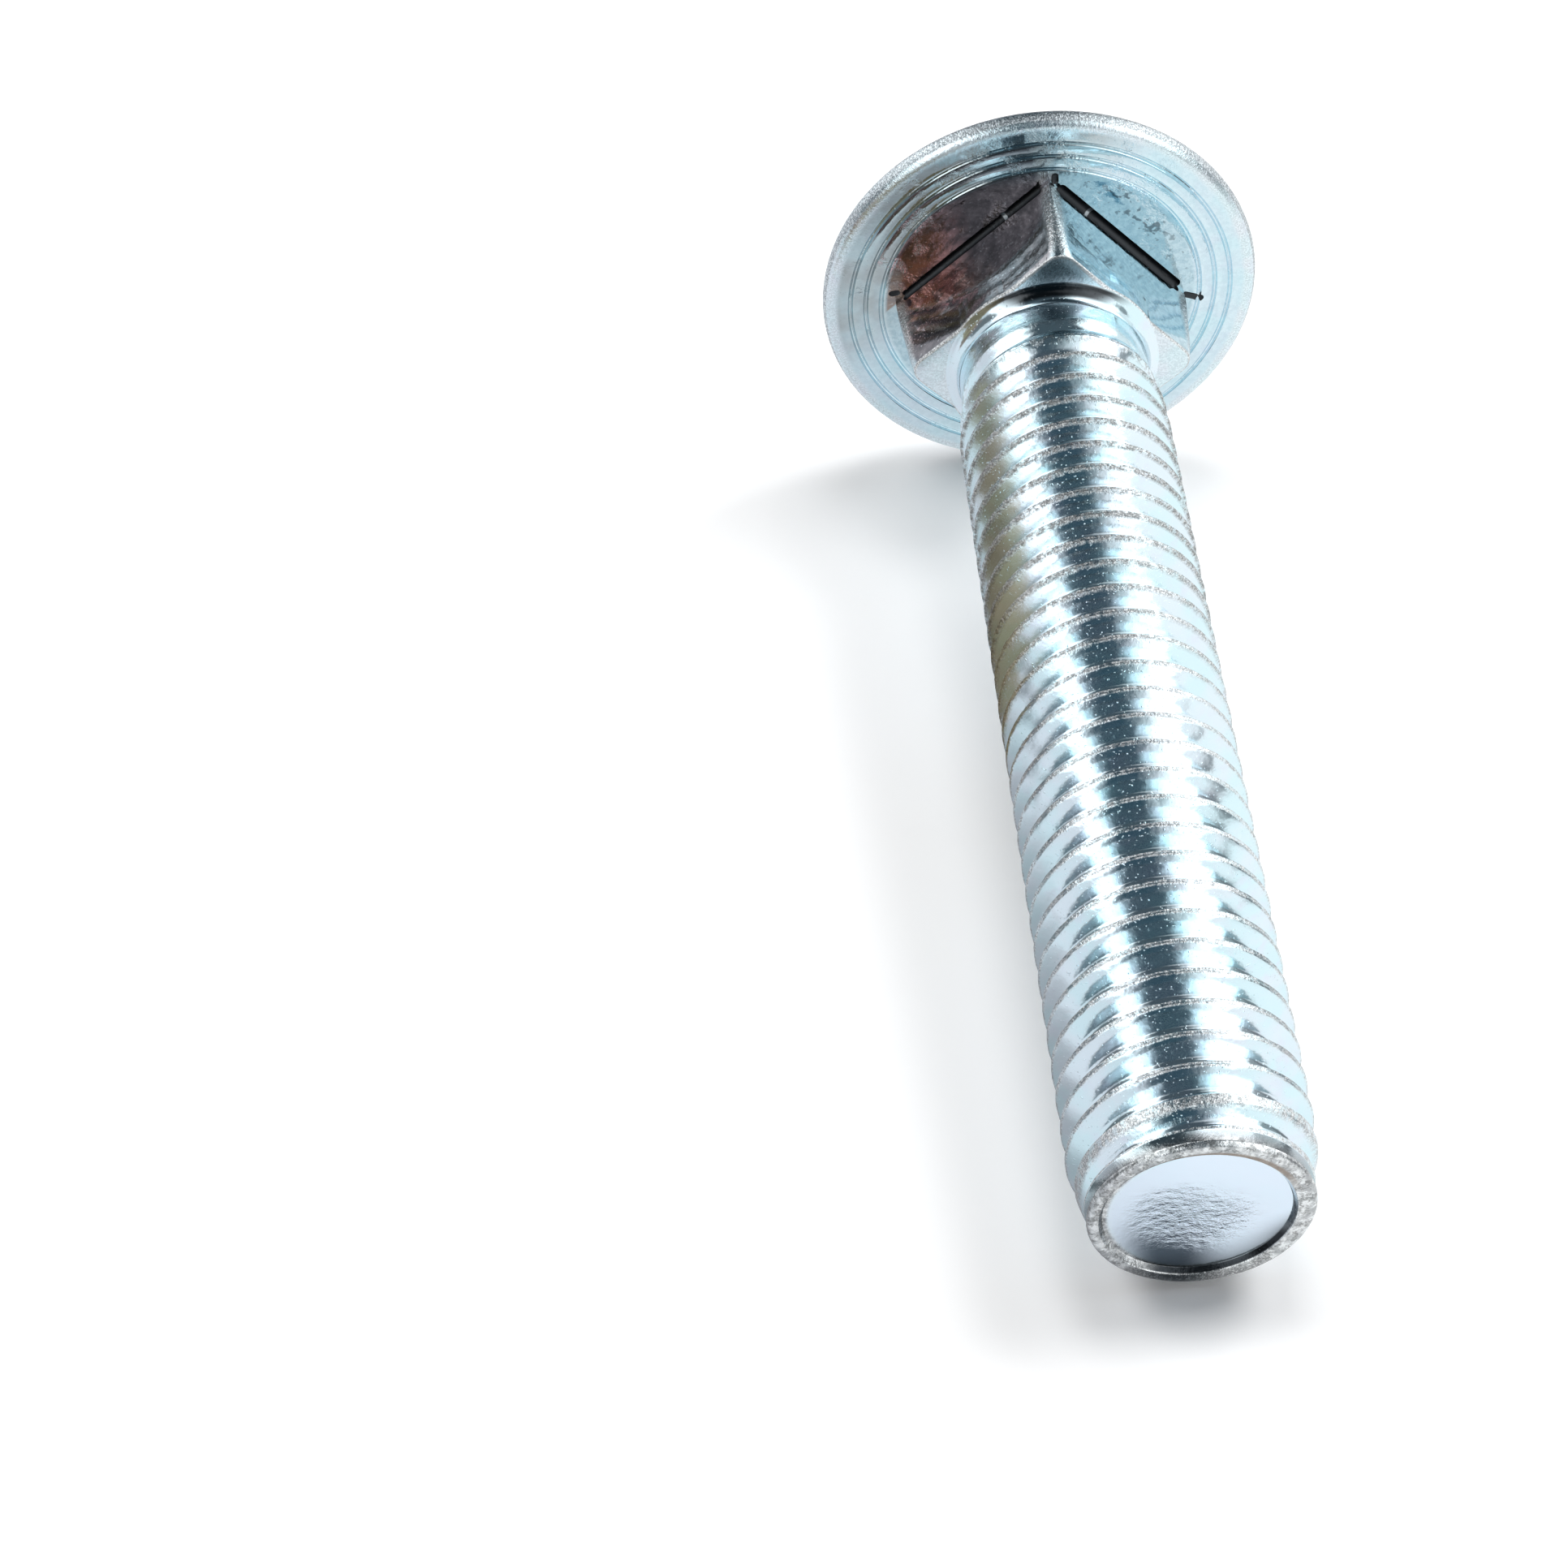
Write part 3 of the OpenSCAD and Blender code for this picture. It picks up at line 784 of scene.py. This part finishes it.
def room_light(n):
    """What the metal reflects: light at the right and at the left of a dark gap that runs in front, over the
    top and behind. Directions are in degrees: turn goes from the front to the right, up from the floor."""
    x, y, z = n.parts(n.add("ShaderNodeTexCoord").outputs["Generated"])
    turn = n.times(n.math("ARCTAN2", x, n.times(y, -1)), 180 / pi)
    up = n.times(n.math("ARCSINE", z), 180 / pi)
    around = n.abs(turn)
    # How far a direction is past the gap's edges, which move outwards and soften higher up.
    past_right = n.minus(turn, n.step(up, 30, 84, 16, 60))
    past_left = n.minus(n.times(turn, -1), n.step(up, 18, 78, 13, 86))
    right = n.times(n.step(past_right, n.step(up, 24, 38, -8, -28), n.step(up, 24, 38, 20, 44)),
                    n.step(up, 86, 58))
    left = n.times(n.step(past_left, n.step(up, 20, 34, -5, -15), n.step(up, 20, 34, 6, 12)),
                   n.step(up, 64, 46))
    behind = n.times(n.step(n.math("MULTIPLY_ADD", up, 0.6, around), 162, 177), n.step(up, -10, 2))
    # The soft boxes hang above a line that rises towards both sides; below it the room is dark at the sides.
    above_right = n.minus(up, n.step(turn, 30, 74, -8, 21))
    above_left = n.minus(up, n.minus(n.step(turn, -10, -80, -8, 33), n.step(turn, -85, -150, 0, 25)))
    sides = n.band(around, 42, 10, 12, 98)
    right_light = n.mix(n.step(above_right, -4, 5), n.mix(sides, RIGHT_WALL, RIGHT_DIM), SOFT_BOX)
    left_light = n.mix(n.times(n.step(above_left, -4, 5), n.step(around, 13, 17)),
                       n.mix(sides, LEFT_WALL, LEFT_DIM), SOFT_BOX)
    gloom = n.mix(n.step(up, 15, 55), LOW_GLOOM, HIGH_GLOOM)
    room = n.mix(left, n.mix(right, gloom, right_light), left_light)
    return n.mix(behind, room, gloom)


def sky():
    """The room for reflections, plain white for the camera, and a faint white for the rest."""
    world = bpy.data.worlds.new("studio")
    bpy.context.scene.world = world
    n = Nodes(world)
    room = n.shader("ShaderNodeBackground", Color=room_light(n), Strength=1.0)
    white = n.shader("ShaderNodeBackground", Color=WHITE, Strength=1.0)
    faint = n.shader("ShaderNodeBackground", Color=WHITE, Strength=0.12)
    seen = n.blend(n.ray("Is Camera Ray"), n.blend(n.ray("Is Glossy Ray"), faint, room), white)
    n.add("ShaderNodeOutputWorld", Surface=seen)


# ---------------------------------------------------------------- lamps and camera

# Name, place in metres, width in metres and power in watts of each square lamp; all face the bolt.
LAMPS = (("right box", (0.28, 0.11, 0.33), 0.22, 1.5), ("left box", (-0.28, 0.11, 0.33), 0.22, 1.0),
         ("top box", (0.02, 0.10, 0.44), 0.16, 0.6))
CAMERA_PLACE = (-0.028015, -0.155513, 0.136590)
CAMERA_TURN = (radians(49.1697), 0, radians(-3.7227))
SENSOR, LENS = 36, 83.165


def lamp(name, place, width, power):
    """A soft lamp that casts light and shadow but isn't itself reflected."""
    data = bpy.data.lights.new(name, "AREA")
    data.size = width
    data.energy = power
    piece = bpy.data.objects.new(name, data)
    piece.location = place
    piece.rotation_euler = (-Vector(place)).to_track_quat("-Z", "Y").to_euler()
    piece.visible_glossy = False
    bpy.context.scene.collection.objects.link(piece)


def camera():
    data = bpy.data.cameras.new("camera")
    data.sensor_width, data.lens = SENSOR, LENS
    data.clip_start, data.clip_end = 0.01, 10
    piece = bpy.data.objects.new("camera", data)
    piece.location = CAMERA_PLACE
    piece.rotation_euler = CAMERA_TURN
    bpy.context.scene.collection.objects.link(piece)
    bpy.context.scene.camera = piece


bolt = make_bolt()
bolt.data.materials.clear()
bolt.data.materials.append(zinc_plate())
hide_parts("bolt")
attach(bolt, "root")

studio()
sky()
for details in LAMPS:
    lamp(*details)
camera()
bpy.context.scene.view_settings.view_transform = "Standard"
